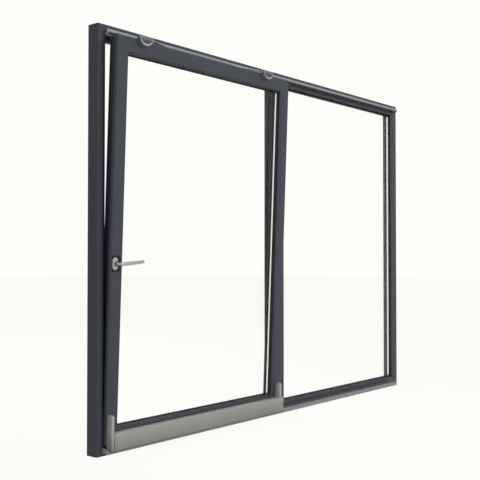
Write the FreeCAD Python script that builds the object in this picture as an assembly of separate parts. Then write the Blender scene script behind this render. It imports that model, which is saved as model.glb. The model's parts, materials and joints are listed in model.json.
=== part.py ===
import FreeCAD, Part
import math
import os

Vector = FreeCAD.Vector

# A two-part parallel sliding tilt door, seen from the room side (-Y).
# X runs along the door, Z is up, and the origin is the middle of the underside.
# The left part is the opening sash, tilted in at its top. The right part is a fixed light.

# Outer frame
frame_width = 3000.0
frame_height = 2150.0
frame_depth = 76.0
frame_face = 45.0
frame_lip_reach = 27.0
frame_lip_thickness = 20.0
lip_chamfer = 6.0
profile_radius = 2.0
mullion_face = 74.0
mullion_shift = -16.0
mullion_lip_tip = 8.0
mullion_slope = 20.0

# Opening sash, drawn closed and then tilted
sash_side_overlap = 10.0
sash_sill_gap = 8.0
sash_head_gap = 18.0
sash_air = 5.0
sash_flange = 20.0
sash_face = 58.0
sash_side_step = 22.0
sash_sill_step = 7.0
sash_back_lip = 15.0
sash_lip_tip = 8.0
sash_slope = 12.0
sash_edge_bevel = 6.0
tilt_angle = 2.3

# Glazing
fixed_bead_width = 27.0
sash_bead_width = 22.0
bead_recess = 1.0
bead_slope_width = 7.0
bead_slope_depth = 8.0
pane_thickness = 4.0
cavity = 16.0
gasket_thickness = 3.0
gasket_show = 1.5
glass_edge_gap = 5.0
spacer_width = 6.0
spacer_recess = 6.0

# Sealing strips
seal_width = 6.0
seal_gap = 0.6

# Guide rail over the sash
rail_drop = 26.0
rail_height = 24.0
rail_depth = 28.0
rail_wall = 2.5
rail_slot = 10.0
rail_inset = 35.0
rail_cap_thickness = 3.0

# Running track on the sill
track_rise = 12.0
track_height = 30.0
track_depth = 45.0
track_wall = 3.0
track_lip = 5.0
track_rib_width = 5.0
track_rib_height = 5.0
track_inset = 32.0
track_stop_length = 24.0

# Scissor arms from the guide rail to the sash
scissor_width = 16.0
scissor_edge_left = 168.0
scissor_edge_right = 246.0
scissor_pair_gap = 42.0
arm_thickness = 4.0
arm_rail_gap = 2.0
pivot_radius = 4.0
pivot_clearance = 0.3
pivot_head_radius = 7.0
pivot_head_height = 2.0
catch_length = 120.0
catch_width = 14.0
slider_length = 40.0
slider_clearance = 0.3
tongue_thickness = 4.0
tongue_sash_rise = 2.0
stud_side_clearance = 2.5
stud_end_clearance = 1.0
stud_stand_off = 11.0
bracket_thickness = 3.0
bracket_height = 14.0
bracket_width = 52.0
bracket_margin = 3.0

# Carriages and their arms under the sash
carriage_arm_length = 300.0
carriage_arm_width = 22.0
carriage_arm_rise = 2.0
carriage_length = 150.0
carriage_width = 28.0
carriage_plate = 3.5
carriage_cheek_height = 14.0
carriage_top_gap = 0.5
roller_radius = 9.0
roller_width = 8.0
roller_spacing = 100.0
roller_seat = 0.2
roller_relief = 1.0
axle_radius = 3.0
carriage_pivot_radius = 5.0
set_off = 115.0

# Tilt bearings between the carriage arms and the sash
bearing_length = 64.0
bearing_depth = 27.0
bearing_height = 28.0
bearing_sash_gap = 3.0
bearing_drop = 1.0
bearing_slot_depth = 10.0
bearing_stud_gap = 1.0
bearing_side_clearance = 2.5
bearing_cap_gap = 3.0
tilt_pin_radius = 4.0
tilt_pin_overhang = 14.0
lug_thickness = 8.0
lug_height = 30.0
lug_gap = 2.0

# Cover over the bottom hardware
cover_bottom = 23.0
cover_height = 91.0
cover_depth = 36.0
cover_wall = 2.5
cover_slope = 9.0
cover_end_gap = 7.0
cap_left_length = 20.0
cap_right_length = 39.0
cover_right_gap = 2.0
cover_track_gap = 5.0
fin_width = 20.0
fin_height = 93.0
fin_bevel = 6.0

# Half-moon covers over the scissor arms
moon_tongue_gap = 7.5
moon_rise = 14.0
moon_side = 2.0
moon_depth = 28.0
moon_wall = 2.5
moon_trim_width = 9.0
moon_trim_thickness = 2.0
moon_rail_gap = 5.0
arm_window = 5.0

# Handle
handle_height = 953.0
handle_edge_distance = 28.0
base_width = 42.0
base_height = 80.0
base_thickness = 2.5
rosette_width = 34.0
rosette_height = 68.0
rosette_thickness = 6.0
neck_radius = 9.0
neck_length = 44.5
lever_length = 151.0
lever_thickness = 15.0
lever_tip_thickness = 12.0
lever_height = 19.0
lever_tip_height = 16.0
lever_angle = 4.0

# Places that follow from the sizes
x_left = -frame_width / 2
x_right = frame_width / 2
y_room = -frame_depth / 2
y_out = frame_depth / 2
lip_front = y_out - frame_lip_thickness
mullion_left = mullion_shift - mullion_face / 2
mullion_right = mullion_shift + mullion_face / 2
sash_rect = (x_left + frame_face - sash_side_overlap, frame_face + sash_sill_gap,
             mullion_left + sash_side_overlap, frame_height - frame_face - sash_head_gap)
sash_left, sash_bottom, sash_right, sash_top = sash_rect
sash_room = y_room - sash_air - sash_flange
sash_out = lip_front - sash_air
sash_glass_back = sash_out - sash_back_lip - gasket_thickness
fixed_glass_back = lip_front - gasket_thickness
glass_thickness = 2 * pane_thickness + cavity
fixed_rect = (mullion_right, frame_face, x_right - frame_face, frame_height - frame_face)
rail_bottom = frame_height - rail_drop - rail_height
rail_middle = y_room - rail_depth / 2
track_middle = y_room - track_depth / 2
track_top = track_rise + track_height
cover_start = sash_left + cover_end_gap
cover_end = sash_right - cover_right_gap

nodes = {}
sash_nodes = []


# Sections are lists of (a, b) or (a, b, corner radius), put in space by a function
def outline_wire(points, place):
    count = len(points)
    corners = []
    for index in range(count):
        point = points[index]
        before = points[index - 1]
        after = points[(index + 1) % count]
        radius = point[2] if len(point) > 2 else 0.0
        corners.append(round_corner(before, point, after, radius))
    edges = []
    for index in range(count):
        corner = corners[index]
        following = corners[(index + 1) % count]
        if len(corner) == 3:
            edges.append(Part.Arc(place(*corner[0]), place(*corner[1]), place(*corner[2])).toShape())
        edges.append(Part.LineSegment(place(*corner[-1]), place(*following[0])).toShape())
    return Part.Wire(edges)


def round_corner(before, point, after, radius):
    if radius <= 0:
        return [(point[0], point[1])]
    to_before = unit(before[0] - point[0], before[1] - point[1])
    to_after = unit(after[0] - point[0], after[1] - point[1])
    half = math.acos(to_before[0] * to_after[0] + to_before[1] * to_after[1]) / 2
    inward = unit(to_before[0] + to_after[0], to_before[1] + to_after[1])
    reach = radius / math.tan(half)
    sag = radius / math.sin(half) - radius
    start = (point[0] + to_before[0] * reach, point[1] + to_before[1] * reach)
    middle = (point[0] + inward[0] * sag, point[1] + inward[1] * sag)
    end = (point[0] + to_after[0] * reach, point[1] + to_after[1] * reach)
    return [start, middle, end]


def unit(a, b):
    size = math.hypot(a, b)
    return (a / size, b / size)


def prism(points, place, direction):
    return Part.Face(outline_wire(points, place)).extrude(direction)


# A straight extrusion along X of a (y, z) section
def along_x(points, start, end):
    return prism(points, lambda y, z: Vector(start, y, z), Vector(end - start, 0, 0))


# A plate drawn as (x, y) and extruded upwards
def upwards(points, bottom, top):
    return prism(points, lambda x, y: Vector(x, y, bottom), Vector(0, 0, top - bottom))


# A plate drawn as (x, z) on a plane facing the room
def along_y(points, start, end):
    return prism(points, lambda x, z: Vector(x, start, z), Vector(0, end - start, 0))


def box(x0, y0, z0, x1, y1, z1):
    return Part.makeBox(x1 - x0, y1 - y0, z1 - z0, Vector(x0, y0, z0))


def upright_cylinder(x, y, bottom, top, radius):
    return Part.makeCylinder(radius, top - bottom, Vector(x, y, bottom))


def joined(shapes):
    result = shapes[0].fuse(shapes[1:])
    return result.removeSplitter()


def inset(rect, distance):
    return (rect[0] + distance, rect[1] + distance, rect[2] - distance, rect[3] - distance)


def rect_box(rect, y0, y1):
    return box(rect[0], y0, rect[1], rect[2], y1, rect[3])


def ring(rect, outer, inner, y0, y1):
    return rect_box(inset(rect, outer), y0, y1).cut(rect_box(inset(rect, inner), y0, y1))


# One bar of a rectangle, cut at 45 degrees where it meets its neighbours.
# The section is drawn as (distance in from the outer edge, y).
def mitred_bar(side, rect, section):
    x0, z0, x1, z1 = rect
    reach = max(point[0] for point in section)
    places = {
        "left": (lambda u, y: Vector(x0 + u, y, z0), Vector(0, 0, z1 - z0),
                 [(x0, z0), (x0 + reach, z0 + reach), (x0 + reach, z1 - reach), (x0, z1)]),
        "right": (lambda u, y: Vector(x1 - u, y, z0), Vector(0, 0, z1 - z0),
                  [(x1, z0), (x1 - reach, z0 + reach), (x1 - reach, z1 - reach), (x1, z1)]),
        "bottom": (lambda u, y: Vector(x0, y, z0 + u), Vector(x1 - x0, 0, 0),
                   [(x0, z0), (x0 + reach, z0 + reach), (x1 - reach, z0 + reach), (x1, z0)]),
        "top": (lambda u, y: Vector(x0, y, z1 - u), Vector(x1 - x0, 0, 0),
                [(x0, z1), (x0 + reach, z1 - reach), (x1 - reach, z1 - reach), (x1, z1)]),
    }
    place, direction, mitre = places[side]
    depths = [point[1] for point in section]
    limit = along_y(mitre, min(depths), max(depths))
    return prism(section, place, direction).common(limit)


def add(name, shape):
    nodes[name] = shape


def add_to_sash(name, shape):
    nodes[name] = shape
    sash_nodes.append(name)


def make_frame():
    frame_rect = (x_left, 0.0, x_right, frame_height)
    lip = frame_face + frame_lip_reach
    section = [(0, y_room, profile_radius), (frame_face, y_room, profile_radius),
               (frame_face, lip_front), (lip - lip_chamfer, lip_front),
               (lip, lip_front + lip_chamfer), (lip, y_out, profile_radius),
               (0, y_out, profile_radius)]
    names = {"left": "frame_jamb_left", "right": "frame_jamb_right",
             "bottom": "frame_sill", "top": "frame_head"}
    for side, name in names.items():
        add(name, mitred_bar(side, frame_rect, section))
    half = mullion_face / 2
    wide = half + frame_lip_reach
    post = [(-half, y_room, profile_radius), (half, y_room, profile_radius), (half, lip_front),
            (wide - lip_chamfer, lip_front), (wide, lip_front + lip_chamfer),
            (wide, lip_front + mullion_lip_tip), (wide - mullion_slope, y_out, profile_radius),
            (-wide + mullion_slope, y_out, profile_radius), (-wide, lip_front + mullion_lip_tip),
            (-wide, lip_front + lip_chamfer), (-wide + lip_chamfer, lip_front), (-half, lip_front)]
    centred = [(point[0] + mullion_shift,) + point[1:] for point in post]
    mullion = upwards(centred, frame_face, frame_height - frame_face)
    add("mullion", mullion.cut([nodes["frame_sill"], nodes["frame_head"]]))


def make_frame_seal():
    lip_rect = (x_left + frame_face, frame_face, mullion_left, frame_height - frame_face)
    centre = (frame_lip_reach - lip_chamfer + sash_side_step - sash_side_overlap) / 2
    outer = centre - seal_width / 2
    add("frame_seal", ring(lip_rect, outer, outer + seal_width, sash_out + seal_gap, lip_front))


# Beads, panes, spacer and gaskets of one light, given the edge of its glazing rebate
def make_glazing(prefix, rect, room, glass_back, bead_width, record_piece):
    glass_front = glass_back - glass_thickness
    bead_back = glass_front - gasket_thickness
    bead_front = room + bead_recess
    flat = bead_width - bead_slope_width
    section = [(0, bead_front), (flat, bead_front, profile_radius),
               (bead_width, bead_front + bead_slope_depth, profile_radius),
               (bead_width, bead_back), (0, bead_back)]
    for side in ("left", "right", "bottom", "top"):
        record_piece(prefix + "_bead_" + side, mitred_bar(side, rect, section))
    glass = inset(rect, glass_edge_gap)
    panes = [rect_box(glass, start, start + pane_thickness)
             for start in (glass_front, glass_back - pane_thickness)]
    record_piece(prefix + "_panes", Part.makeCompound(panes))
    spacer_inner = bead_width - spacer_recess
    record_piece(prefix + "_spacer", ring(rect, spacer_inner - spacer_width, spacer_inner,
                                          glass_front + pane_thickness, glass_back - pane_thickness))
    gasket_outer = bead_width / 2
    gasket_inner = bead_width + gasket_show
    front_gasket = ring(rect, gasket_outer, gasket_inner, bead_back, glass_front)
    back_gasket = ring(rect, gasket_outer, gasket_inner, glass_back, glass_back + gasket_thickness)
    record_piece(prefix + "_gaskets", Part.makeCompound([front_gasket, back_gasket]))


def make_sash():
    inner = sash_face + sash_bead_width
    back = sash_glass_back + gasket_thickness
    section = [(0, sash_room + sash_edge_bevel), (sash_edge_bevel, sash_room),
               (sash_face, sash_room), (sash_face, back), (inner - lip_chamfer, back),
               (inner, back + lip_chamfer), (inner, back + sash_lip_tip),
               (inner - sash_slope, sash_out, profile_radius), (0, sash_out)]
    flange_back = sash_room + sash_flange
    rear_rect = (sash_left + sash_side_step, sash_bottom + sash_sill_step,
                 sash_right - sash_side_step, sash_top)
    around = rect_box(inset(sash_rect, -1.0), flange_back, sash_out)
    rebate = around.cut(rect_box(rear_rect, flange_back, sash_out))
    names = {"left": "sash_stile_left", "right": "sash_stile_right",
             "bottom": "sash_rail_bottom", "top": "sash_rail_top"}
    for side, name in names.items():
        add_to_sash(name, mitred_bar(side, sash_rect, section).cut(rebate))
    make_glazing("sash", inset(sash_rect, sash_face), sash_room, sash_glass_back,
                 sash_bead_width, add_to_sash)
    seal_inset = (sash_side_overlap - seal_width) / 2
    strips = []
    for start in (sash_left + seal_inset, sash_right - seal_inset - seal_width):
        strips.append(box(start, flange_back, sash_bottom + seal_inset,
                          start + seal_width, y_room - seal_gap, sash_top - seal_inset))
    add_to_sash("sash_seals", Part.makeCompound(strips))


# Sizes shared by the scissor arms, their brackets and the half-moon covers
arm_top = rail_bottom - arm_rail_gap
arm_bottom = arm_top - arm_thickness
stud_y = sash_room - stud_stand_off
tilt_y = sash_room - bearing_sash_gap - bearing_depth / 2
bearing_bottom = sash_bottom - bearing_drop
tilt_z = bearing_bottom + bearing_slot_depth + (bearing_height - bearing_slot_depth) / 2
tongue_top = sash_top + tongue_sash_rise
tilt_shift = (tongue_top - tilt_z) * math.sin(math.radians(tilt_angle))
closed_reach = rail_middle - stud_y
moon_x = {"left": sash_left + scissor_edge_left, "right": sash_right - scissor_edge_right}
scissor_length = (moon_x["right"] - moon_x["left"] - scissor_pair_gap) / 2
scissor_closed = math.asin(closed_reach / scissor_length)
scissor_tilted = math.asin((closed_reach + tilt_shift) / scissor_length)
scissor_far = math.asin((closed_reach + tilt_shift + set_off) / scissor_length)
scissor_travel = scissor_length * (math.cos(scissor_closed) - math.cos(scissor_far))
outward = {"left": -1.0, "right": 1.0}
scissor_x = {side: moon_x[side] + outward[side] * (scissor_travel / 2
             - scissor_length * math.cos(scissor_closed)) for side in outward}


def make_guide_rail():
    front = y_room - rail_depth
    top = rail_bottom + rail_height
    slot_front = rail_middle - rail_slot / 2
    slot_back = rail_middle + rail_slot / 2
    section = [(y_room, rail_bottom), (y_room, top), (front, top, profile_radius),
               (front, rail_bottom, profile_radius), (slot_front, rail_bottom),
               (slot_front, rail_bottom + rail_wall), (front + rail_wall, rail_bottom + rail_wall),
               (front + rail_wall, top - rail_wall), (y_room - rail_wall, top - rail_wall),
               (y_room - rail_wall, rail_bottom + rail_wall), (slot_back, rail_bottom + rail_wall),
               (slot_back, rail_bottom)]
    start = x_left + rail_inset
    end = x_right - rail_inset
    add("guide_rail", along_x(section, start + rail_cap_thickness, end - rail_cap_thickness))
    cap = [(y_room, rail_bottom), (y_room, top), (front, top, profile_radius),
           (front, rail_bottom, profile_radius)]
    add("guide_rail_caps", Part.makeCompound([along_x(cap, start, start + rail_cap_thickness),
                                              along_x(cap, end - rail_cap_thickness, end)]))


# A slider hangs in the rail, and the pivot pin turns in its bore.
# The catch plate on the pin's foot follows the tilt and stays back when the arm swings out.
def make_sliders():
    front = y_room - rail_depth + rail_wall + slider_clearance
    back = y_room - rail_wall - slider_clearance
    bottom = rail_bottom + rail_wall + slider_clearance
    top = rail_bottom + rail_height - rail_wall - slider_clearance
    stem = rail_slot / 2 - slider_clearance
    sliders = []
    for side in outward:
        x = scissor_x[side]
        half = slider_length / 2
        block = box(x - half, front, bottom, x + half, back, top)
        neck = box(x - half, rail_middle - stem, rail_bottom, x + half, rail_middle + stem, bottom)
        bore = upright_cylinder(x, rail_middle, rail_bottom, top, pivot_radius + pivot_clearance)
        sliders.append(joined([block, neck]).cut(bore))
        pin_top = top - slider_clearance
        pin_bottom = arm_bottom - pivot_clearance
        shank = upright_cylinder(x, rail_middle, pin_bottom, pin_top, pivot_radius)
        foot = pin_bottom - pivot_head_height
        head = upright_cylinder(x, rail_middle, foot, pin_bottom, pivot_head_radius)
        catch = catch_plate((x, rail_middle), outward[side], foot, pin_bottom)
        add("scissor_pin_" + side, joined([shank, head, catch]))
    add("scissor_sliders", Part.makeCompound(sliders))


# A flat bar with round ends from a pivot, and the place of its tip
def flat_bar(pivot, angle, direction, length, width, bottom, top):
    tip = (pivot[0] + direction * length * math.cos(angle), pivot[1] - length * math.sin(angle))
    across = (math.sin(angle) * width / 2 * direction, math.cos(angle) * width / 2)
    corners = [(pivot[0] + across[0], pivot[1] + across[1]), (tip[0] + across[0], tip[1] + across[1]),
               (tip[0] - across[0], tip[1] - across[1]), (pivot[0] - across[0], pivot[1] - across[1])]
    parts = [upwards(corners, bottom, top)]
    for point in (pivot, tip):
        parts.append(upright_cylinder(point[0], point[1], bottom, top, width / 2))
    return parts, tip


# An arm has a hole at its pivot and a stud at its tip
def flat_arm(pivot, angle, direction, length, width, bottom, bore, stud_bottom, stud_top):
    top = bottom + arm_thickness
    parts, tip = flat_bar(pivot, angle, direction, length, width, bottom, top)
    stud = upright_cylinder(tip[0], tip[1], stud_bottom, stud_top, pivot_radius)
    hole = upright_cylinder(pivot[0], pivot[1], bottom, top, bore)
    return joined(parts + [stud]).cut(hole)


def catch_plate(pivot, direction, bottom, top):
    parts, tip = flat_bar(pivot, scissor_tilted, direction, catch_length, catch_width, bottom, top)
    eye = upright_cylinder(tip[0], tip[1], bottom, top, pivot_radius)
    return joined(parts).cut(eye)


def make_scissor_arms():
    stud_bottom = tongue_top - 2 * tongue_thickness
    for side, direction in outward.items():
        arm = flat_arm((scissor_x[side], rail_middle), scissor_tilted, direction, scissor_length,
                       scissor_width, arm_bottom, pivot_radius + pivot_clearance,
                       stud_bottom, arm_bottom + arm_thickness)
        add("scissor_arm_" + side, arm)


# The bracket's slotted tongue takes the stud of the scissor arm
slot_half = scissor_travel / 2 + stud_end_clearance
slot_radius = pivot_radius + stud_side_clearance
tongue_half = slot_half + pivot_radius + bracket_margin
tongue_front = stud_y - slot_radius - bracket_margin


def make_scissor_brackets():
    plate_front = sash_room - bracket_thickness
    brackets = []
    for side in outward:
        x = moon_x[side]
        tongue = box(x - tongue_half, tongue_front, tongue_top - tongue_thickness,
                     x + tongue_half, plate_front, tongue_top)
        plate = box(x - bracket_width / 2, plate_front, tongue_top - bracket_height,
                    x + bracket_width / 2, sash_room, tongue_top)
        slot = box(x - slot_half - pivot_radius, stud_y - slot_radius,
                   tongue_top - tongue_thickness, x + slot_half + pivot_radius,
                   stud_y + slot_radius, tongue_top)
        brackets.append(joined([tongue, plate]).cut(slot))
    add_to_sash("scissor_brackets", Part.makeCompound(brackets))


# The half-moon covers are as wide as the tongues in them need
moon_top = sash_top + moon_rise
moon_centre = moon_top - moon_side
moon_inner = math.hypot(tongue_half + moon_tongue_gap, moon_centre - tongue_top + tongue_thickness)
moon_radius = moon_inner + moon_wall


def moon_section(x, radius, top, side_drop):
    centre = top - side_drop
    return [Part.LineSegment(Vector(x - radius, 0, centre), Vector(x - radius, 0, top)).toShape(),
            Part.LineSegment(Vector(x - radius, 0, top), Vector(x + radius, 0, top)).toShape(),
            Part.LineSegment(Vector(x + radius, 0, top), Vector(x + radius, 0, centre)).toShape(),
            Part.Arc(Vector(x + radius, 0, centre), Vector(x, 0, centre - radius),
                     Vector(x - radius, 0, centre)).toShape()]


def moon_prism(x, radius, top, side_drop, y0, y1):
    face = Part.Face(Part.Wire(moon_section(x, radius, top, side_drop)))
    face.translate(Vector(0, y0, 0))
    return face.extrude(Vector(0, y1 - y0, 0))


# Half-moon cover: a shell open at the back and top, with a window for the arm, and a bright rim
def make_moon_covers():
    front = sash_room - moon_depth
    rail_clear = box(sash_left, y_room - rail_depth - moon_rail_gap, sash_top,
                     sash_right, sash_room, moon_top)
    caps = []
    rims = []
    for side, direction in outward.items():
        x = moon_x[side]
        outer = moon_prism(x, moon_radius, moon_top, moon_side, front, sash_room)
        inner = moon_prism(x, moon_inner, moon_top, moon_side, front + moon_wall, sash_room)
        ends = sorted((x, x - direction * (moon_radius + moon_wall)))
        window = box(ends[0], front + moon_wall, arm_bottom - arm_window,
                     ends[1], sash_room, arm_top + arm_window)
        caps.append(outer.cut([inner, window, rail_clear]))
        rim_outer = moon_prism(x, moon_radius, moon_top, moon_side,
                               front - moon_trim_thickness, front)
        rim_inner = moon_prism(x, moon_radius - moon_trim_width, moon_top, moon_side,
                               front - moon_trim_thickness, front)
        rims.append(rim_outer.cut(rim_inner))
    add_to_sash("scissor_caps", Part.makeCompound(caps))
    add_to_sash("scissor_cap_rims", Part.makeCompound(rims))


def make_running_track():
    front = y_room - track_depth
    base_top = track_rise + track_wall
    rib_front = track_middle - track_rib_width / 2
    rib_back = track_middle + track_rib_width / 2
    rib_top = base_top + track_rib_height
    section = [(y_room, track_rise), (y_room, track_top), (y_room - track_wall, track_top),
               (y_room - track_wall, base_top), (rib_back, base_top),
               (rib_back, rib_top, track_rib_width / 4), (rib_front, rib_top, track_rib_width / 4),
               (rib_front, base_top), (front + track_wall, base_top),
               (front + track_wall, track_top - track_wall),
               (front + track_lip, track_top - track_wall), (front + track_lip, track_top),
               (front, track_top, profile_radius), (front, track_rise)]
    start = x_left + track_inset
    end = x_right - track_inset
    add("running_track", along_x(section, start, end))
    inner_front = front + track_wall
    inner_back = y_room - track_wall
    stops = []
    for x in (start, end - track_stop_length):
        stop = box(x, inner_front, base_top, x + track_stop_length, inner_back,
                   track_top - track_wall)
        over_rib = box(x, rib_front, base_top, x + track_stop_length, rib_back, rib_top)
        stops.append(stop.cut(over_rib))
    add("track_end_stops", Part.makeCompound(stops))


carriage_arm_bottom = track_top + carriage_arm_rise
carriage_reach = track_middle - tilt_y
carriage_closed = math.asin(carriage_reach / carriage_arm_length)
carriage_far = math.asin((carriage_reach + set_off) / carriage_arm_length)
carriage_travel = carriage_arm_length * (math.cos(carriage_closed) - math.cos(carriage_far))
bearing_reach = bearing_length / 2 + tilt_pin_overhang + bearing_cap_gap
bearing_x = {"left": cover_start + cap_left_length + bearing_reach,
             "right": cover_end - cap_right_length - bearing_reach}
carriage_x = {side: bearing_x[side] + outward[side] * (carriage_travel / 2
              - carriage_arm_length * math.cos(carriage_closed)) for side in outward}


# Inverted channel with two rollers on the track's rib and a pivot stud on top
def make_carriages():
    plate_top = track_top - carriage_top_gap
    plate_bottom = plate_top - carriage_plate
    roller_z = track_rise + track_wall + track_rib_height + roller_seat + roller_radius
    half_width = carriage_width / 2
    carriages = []
    for side in outward:
        x = carriage_x[side]
        half = carriage_length / 2
        plate = box(x - half, track_middle - half_width, plate_bottom,
                    x + half, track_middle + half_width, plate_top)
        parts = [plate]
        for edge in (-half_width, half_width - carriage_plate):
            parts.append(box(x - half, track_middle + edge, plate_bottom - carriage_cheek_height,
                             x + half, track_middle + edge + carriage_plate, plate_bottom))
        stud_top = carriage_arm_bottom + arm_thickness + pivot_clearance
        parts.append(upright_cylinder(x, track_middle, plate_top, stud_top + pivot_head_height / 2,
                                      carriage_pivot_radius))
        parts.append(upright_cylinder(x, track_middle, stud_top, stud_top + pivot_head_height,
                                      carriage_pivot_radius + pivot_head_height))
        for shift in (-roller_spacing / 2, roller_spacing / 2):
            axle = Part.makeCylinder(axle_radius, carriage_width - 2 * carriage_plate,
                                     Vector(x + shift, track_middle - half_width + carriage_plate,
                                            roller_z), Vector(0, 1, 0))
            wheel = Part.makeCylinder(roller_radius, roller_width,
                                      Vector(x + shift, track_middle - roller_width / 2, roller_z),
                                      Vector(0, 1, 0))
            opening = roller_radius + roller_relief
            relief = box(x + shift - opening, track_middle - half_width + carriage_plate,
                         plate_bottom, x + shift + opening,
                         track_middle + half_width - carriage_plate, plate_top)
            parts[0] = parts[0].cut(relief)
            parts.append(axle)
            parts.append(wheel)
        carriages.append(joined(parts))
    add("carriages", Part.makeCompound(carriages))


def make_carriage_arms():
    stud_top = bearing_bottom + bearing_slot_depth - bearing_stud_gap
    for side, direction in outward.items():
        arm = flat_arm((carriage_x[side], track_middle), carriage_closed, direction,
                       carriage_arm_length, carriage_arm_width, carriage_arm_bottom,
                       carriage_pivot_radius + pivot_clearance, carriage_arm_bottom, stud_top)
        add("carriage_arm_" + side, arm)


# The bearing block takes the arm's stud from below and carries the tilt pin along X
def make_tilt_bearings():
    slot_half = carriage_travel / 2 + stud_end_clearance + pivot_radius
    slot_side = pivot_radius + bearing_side_clearance
    bearings = []
    for side in outward:
        x = bearing_x[side]
        half = bearing_length / 2
        block = box(x - half, tilt_y - bearing_depth / 2, bearing_bottom,
                    x + half, tilt_y + bearing_depth / 2, bearing_bottom + bearing_height)
        slot = box(x - slot_half, tilt_y - slot_side, bearing_bottom,
                   x + slot_half, tilt_y + slot_side, bearing_bottom + bearing_slot_depth)
        pin = Part.makeCylinder(tilt_pin_radius, bearing_length + 2 * tilt_pin_overhang,
                                Vector(x - half - tilt_pin_overhang, tilt_y, tilt_z), Vector(1, 0, 0))
        bearings.append(joined([block.cut(slot), pin]))
    add("tilt_bearings", Part.makeCompound(bearings))


# Lugs on the sash face that turn on the tilt pins
def make_tilt_lugs():
    bore_radius = tilt_pin_radius + pivot_clearance
    front = tilt_y - bearing_depth / 2
    lugs = []
    for side in outward:
        inner = bearing_length / 2 + lug_gap
        for start in (bearing_x[side] - inner - lug_thickness, bearing_x[side] + inner):
            lug = along_x([(sash_room, tilt_z - lug_height / 2), (sash_room, tilt_z + lug_height / 2),
                           (front, tilt_z + lug_height / 2, bearing_depth / 4),
                           (front, tilt_z - lug_height / 2, bearing_depth / 4)],
                          start, start + lug_thickness)
            bore = Part.makeCylinder(bore_radius, lug_thickness, Vector(start, tilt_y, tilt_z),
                                     Vector(1, 0, 0))
            lugs.append(lug.cut(bore))
    add_to_sash("tilt_lugs", Part.makeCompound(lugs))


# Cover profile along the bottom, with end caps that rise as fins
def make_bottom_cover():
    front = sash_room - cover_depth
    top = cover_bottom + cover_height
    shoulder = front + cover_slope / 3
    outer = [(front, cover_bottom, profile_radius), (front, top - 3 * cover_slope),
             (shoulder, top, profile_radius), (sash_room, top),
             (sash_room, top - cover_wall), (shoulder + cover_wall, top - cover_wall),
             (front + cover_wall, top - 3 * cover_slope), (front + cover_wall, cover_bottom)]
    add_to_sash("bottom_cover", along_x(outer, cover_start + cap_left_length,
                                        cover_end - cap_right_length))
    hook = y_room - track_depth - cover_track_gap
    solid = [(front, cover_bottom, profile_radius), (front, top - 3 * cover_slope),
             (shoulder, top, profile_radius), (sash_room, top), (sash_room, sash_bottom),
             (hook, sash_bottom), (hook, cover_bottom)]
    fin_top = top + fin_height
    fin = [(sash_room, top - cover_slope), (sash_room, fin_top), (front + 2 * fin_bevel, fin_top),
           (front + fin_bevel / 2, fin_top - 2 * fin_bevel, profile_radius),
           (front + fin_bevel / 2, top - cover_slope)]
    spans = {"left": (cover_start, cover_start + cap_left_length, cover_start),
             "right": (cover_end - cap_right_length, cover_end, cover_end - cap_right_length)}
    for side, (x0, x1, fin_x) in spans.items():
        body = along_x(solid, x0, x1)
        tab = along_x(fin, fin_x, fin_x + fin_width)
        add_to_sash("cover_cap_" + side, joined([body, tab]))


def oval_plate(x, z, width, height, y0, y1):
    half_width = width / 2
    straight = height / 2 - half_width
    corner = half_width - 0.01
    points = [(x - half_width, z - straight - half_width, corner),
              (x + half_width, z - straight - half_width, corner),
              (x + half_width, z + straight + half_width, corner),
              (x - half_width, z + straight + half_width, corner)]
    return along_y(points, y0, y1)


def make_handle():
    x = sash_left + handle_edge_distance
    z = handle_height
    base_front = sash_room - base_thickness
    rosette_front = base_front - rosette_thickness
    add_to_sash("handle_base", oval_plate(x, z, base_width, base_height, base_front, sash_room))
    rosette = oval_plate(x, z, rosette_width, rosette_height, rosette_front, base_front)
    front_edges = [edge for edge in rosette.Edges
                   if abs(edge.BoundBox.YMin - rosette_front) < 0.01
                   and abs(edge.BoundBox.YMax - rosette_front) < 0.01]
    rosette = rosette.makeFillet(rosette_thickness / 4, front_edges)
    bore = Part.makeCylinder(neck_radius + pivot_clearance, rosette_thickness / 2,
                             Vector(x, rosette_front, z), Vector(0, 1, 0))
    add_to_sash("handle_rosette", rosette.cut(bore))
    seat = rosette_front + rosette_thickness / 2 - pivot_clearance
    lever_front = rosette_front - neck_length
    neck = Part.makeCylinder(neck_radius, seat - lever_front - lever_thickness / 2,
                             Vector(x, lever_front + lever_thickness / 2, z), Vector(0, 1, 0))
    elbow = Part.makeSphere(neck_radius, Vector(x, lever_front + neck_radius, z))
    lever = lever_bar(x, z, lever_front)
    add_to_sash("handle_lever", joined([neck, elbow, lever]))


# The lever tapers gently and bends back toward the sash at its tip
def lever_bar(x, z, front):
    start = Vector(x, front + neck_radius, z)
    rise = math.tan(math.radians(lever_angle))
    end_x = x + lever_length
    sections = []
    steps = 4
    for step in range(steps + 1):
        share = step / steps
        along = x + (end_x - x) * share
        thick = lever_thickness + (lever_tip_thickness - lever_thickness) * share
        back = 3.0 * share * share
        centre = Vector(along, start.y + back, z + (along - x) * rise)
        half_y = thick / 2
        half_z = (lever_height + (lever_tip_height - lever_height) * share) / 2
        ellipse = Part.Ellipse(centre + Vector(0, 0, half_z), centre + Vector(0, half_y, 0), centre)
        sections.append(Part.Wire(ellipse.toShape()))
    return Part.makeLoft(sections, True, False)


def tilt_sash():
    for name in sash_nodes:
        shape = nodes[name].copy()
        shape.rotate(Vector(0, tilt_y, tilt_z), Vector(1, 0, 0), tilt_angle)
        nodes[name] = shape


def export_nodes():
    os.makedirs("parts", exist_ok=True)
    for name, shape in nodes.items():
        shape.exportStep("parts/" + name + ".step")


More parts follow.
